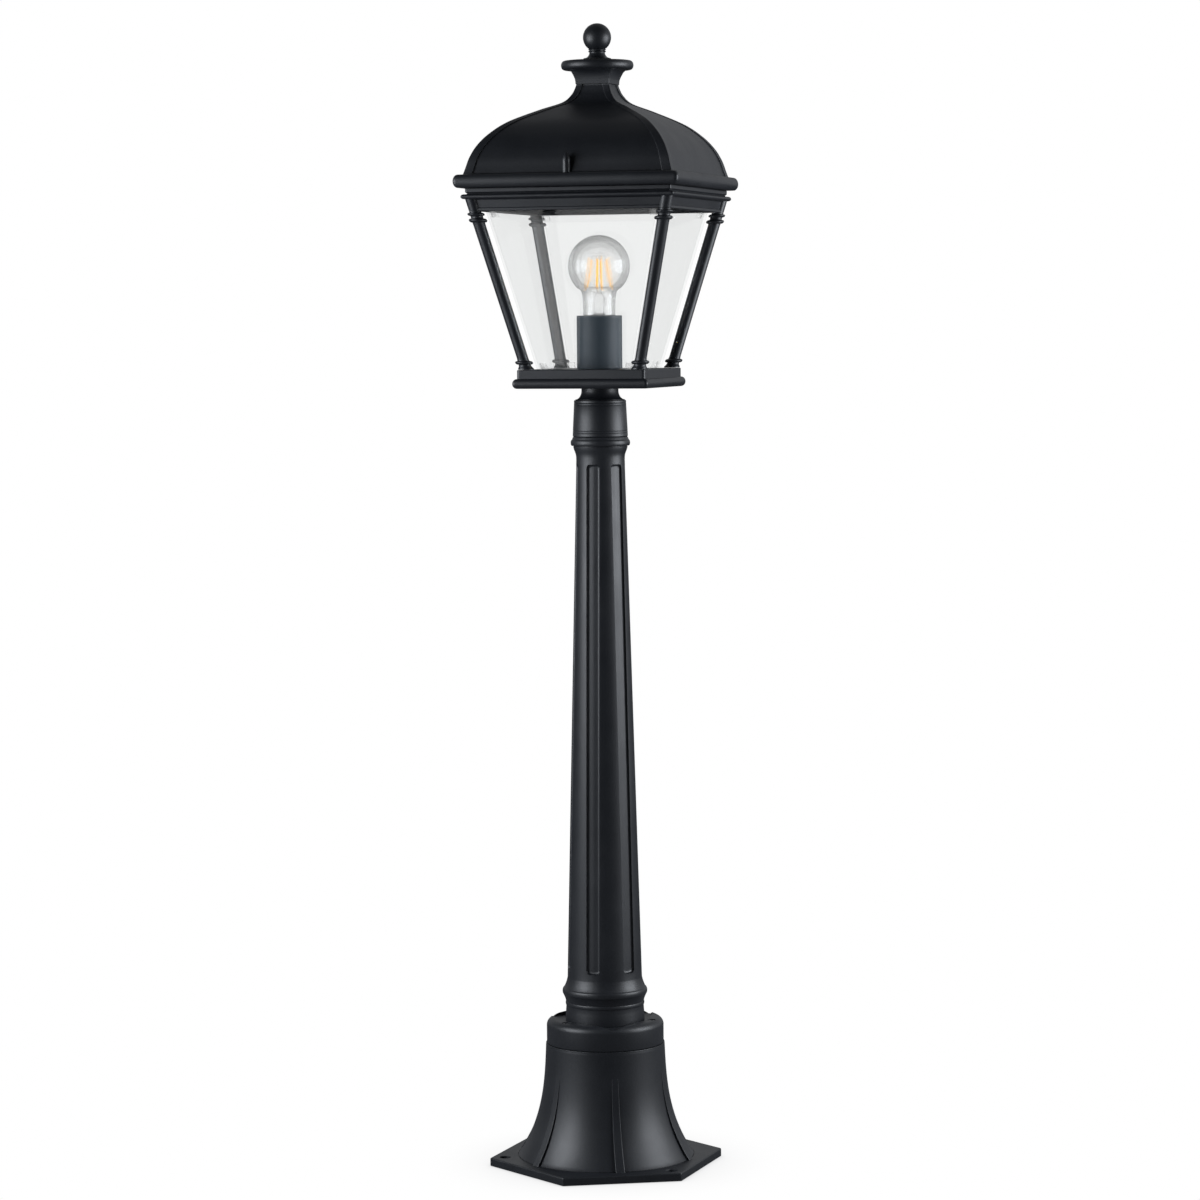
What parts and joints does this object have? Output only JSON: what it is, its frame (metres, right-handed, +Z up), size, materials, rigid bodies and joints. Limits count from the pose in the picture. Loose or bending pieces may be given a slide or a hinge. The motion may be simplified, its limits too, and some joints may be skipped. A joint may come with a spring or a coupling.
{
  "type": "garden pillar lantern",
  "caption": "Black cast garden pillar lantern: bell base on a hexagonal plate, fluted tapering post, square glazed lantern with lift-off domed roof and a screw-in clear lamp.",
  "frame": {"origin": "centre of the base plate's underside, on the post's vertical axis", "axes": "+Z up the post; the lantern's front pane faces -Y and its right pane faces +X; the hexagonal base is turned 25.8 degrees about +Z"},
  "size_m": [0.2224, 0.2304, 1.112],
  "materials": {
    "powder_coat": "satin",
    "sleeve_coat": "satin",
    "zinc_steel": "satin",
    "clear_plastic": "gloss",
    "lamp_metal": "satin",
    "brass": "satin",
    "rubber": "matte",
    "black_plastic": "matte",
    "ceramic": "satin",
    "pane_glass": "gloss",
    "lamp_glass": "gloss",
    "filament": "satin"
  },
  "bodies": {
    "pillar": {"base_casting": "powder_coat", "base_cap": "powder_coat", "post_shaft": "powder_coat", "post_collar": "powder_coat", "lantern_neck": "powder_coat", "lantern_tray": "powder_coat", "corner_post_front_left": "powder_coat", "corner_post_front_right": "powder_coat", "corner_post_back_left": "powder_coat", "corner_post_back_right": "powder_coat", "top_frame": "powder_coat", "lampholder_sleeve": "sleeve_coat", "cap_screw_1": "zinc_steel", "cap_screw_2": "zinc_steel", "cap_screw_3": "zinc_steel", "tie_tube": "zinc_steel", "tie_washer_lower": "zinc_steel", "tie_washer_upper": "zinc_steel", "tie_nut_lower": "zinc_steel", "tie_nut_upper": "zinc_steel", "roof_bridge": "zinc_steel", "bridge_screw_left": "zinc_steel", "bridge_screw_right": "zinc_steel", "roof_rod": "zinc_steel", "rod_nut_lower": "zinc_steel", "rod_nut_upper": "zinc_steel", "glass_clip_lower_front_left": "clear_plastic", "glass_clip_lower_front_right": "clear_plastic", "glass_clip_lower_back_left": "clear_plastic", "glass_clip_lower_back_right": "clear_plastic", "glass_clip_upper_front_left": "clear_plastic", "glass_clip_upper_front_right": "clear_plastic", "glass_clip_upper_back_left": "clear_plastic", "glass_clip_upper_back_right": "clear_plastic", "earth_screw": "brass", "lampholder_shell": "brass", "lampholder_contact": "brass", "terminal_block": "black_plastic", "internal_lead": "black_plastic", "lampholder_core": "ceramic", "glass_front": "pane_glass", "glass_right": "pane_glass", "glass_back": "pane_glass", "glass_left": "pane_glass"},
    "roof": {"roof_dome": "powder_coat", "roof_cap": "powder_coat", "roof_gasket": "rubber", "finial_seal": "rubber"},
    "finial_thread": {"finial_insert": "brass"},
    "finial": {"finial": "powder_coat"},
    "lamp_tip": {"lamp_contact": "black_plastic"},
    "lamp": {"lamp_cap": "lamp_metal", "lamp_bulb": "lamp_glass", "lamp_stem": "lamp_glass", "lamp_wires_upper": "lamp_metal", "lamp_wires_lower": "lamp_metal", "lamp_filament_1": "filament", "lamp_filament_2": "filament", "lamp_filament_3": "filament", "lamp_filament_4": "filament"}
  },
  "joints": [
    {"name": "roof_lift", "type": "slide", "parent": "pillar", "child": "roof", "axis": [0, 0, 1], "range_m": [0, 0.15]},
    {"name": "finial_rise", "type": "slide", "parent": "roof", "child": "finial_thread", "axis": [0, 0, 1], "range_m": [0, 0.011]},
    {"name": "finial_turn", "type": "hinge", "parent": "finial_thread", "child": "finial", "pos_m": [0, 0, 1.0777], "axis": [0, 0, 1], "range_deg": [0, 3960]},
    {"name": "lamp_rise", "type": "slide", "parent": "pillar", "child": "lamp_tip", "axis": [0, 0, 1], "range_m": [0, 0.0109]},
    {"name": "lamp_turn", "type": "hinge", "parent": "lamp_tip", "child": "lamp", "pos_m": [0, 0, 0.8038], "axis": [0, 0, 1], "range_deg": [0, 1080]}
  ],
  "couplings": [
    {"joint": "finial_rise", "follows": "finial_turn", "m_per_rad": 0.000159},
    {"joint": "lamp_rise", "follows": "lamp_turn", "m_per_rad": 0.000576}
  ]
}
